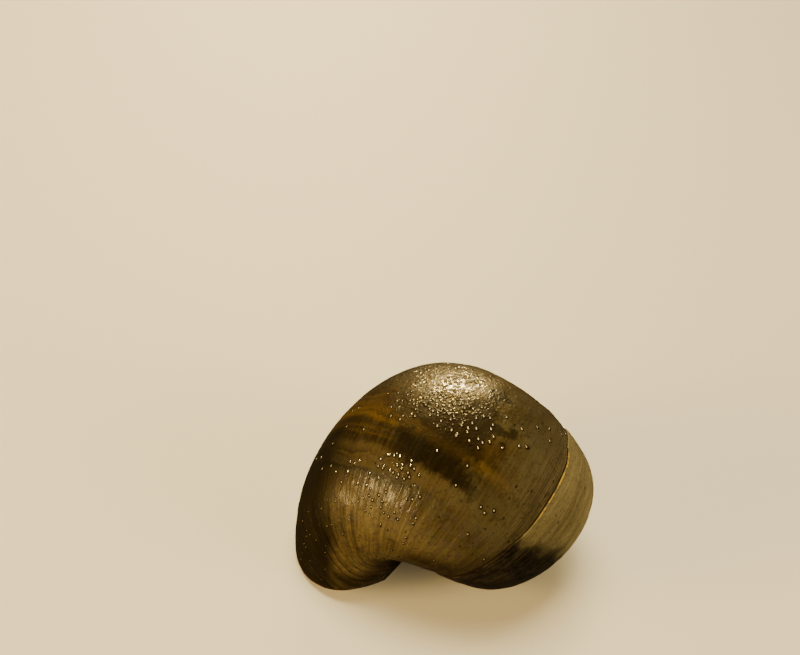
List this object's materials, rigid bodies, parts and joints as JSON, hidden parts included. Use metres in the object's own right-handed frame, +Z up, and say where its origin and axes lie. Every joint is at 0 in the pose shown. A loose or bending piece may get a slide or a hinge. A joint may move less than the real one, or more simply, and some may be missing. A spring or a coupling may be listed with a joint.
{
  "type": "apple snail",
  "caption": "Life-size apple snail at rest, drawn back into its coiled shell with the mouth down and closed by its operculum.",
  "frame": {"origin": "on the floor, at the middle of the model's bounding box seen from above", "axes": "+Z up from the floor that the shell rests on, +Y the way the picture looks at the snail, +X to the picture's right"},
  "size_m": [0.06, 0.0518, 0.0439],
  "materials": {
    "shell": "wet, glossy olive-brown outer skin with fine growth lines",
    "spire": "orange-brown whorls, worn grey-brown towards the tip",
    "lip": "thin amber edge, smooth",
    "callus": "pale polished inner lip",
    "flesh": "moist grey-brown flesh",
    "operculum": "brown horn with fine growth rings"
  },
  "bodies": {
    "root": {"shell_apex": "spire", "shell_spire_whorl": "spire", "shell_penultimate_whorl": "shell", "shell_body_whorl_early": "shell", "shell_body_whorl_late": "shell", "shell_outer_lip": "lip", "shell_inner_lip": "callus", "foot": "flesh", "operculum": "operculum"}
  },
  "joints": []
}
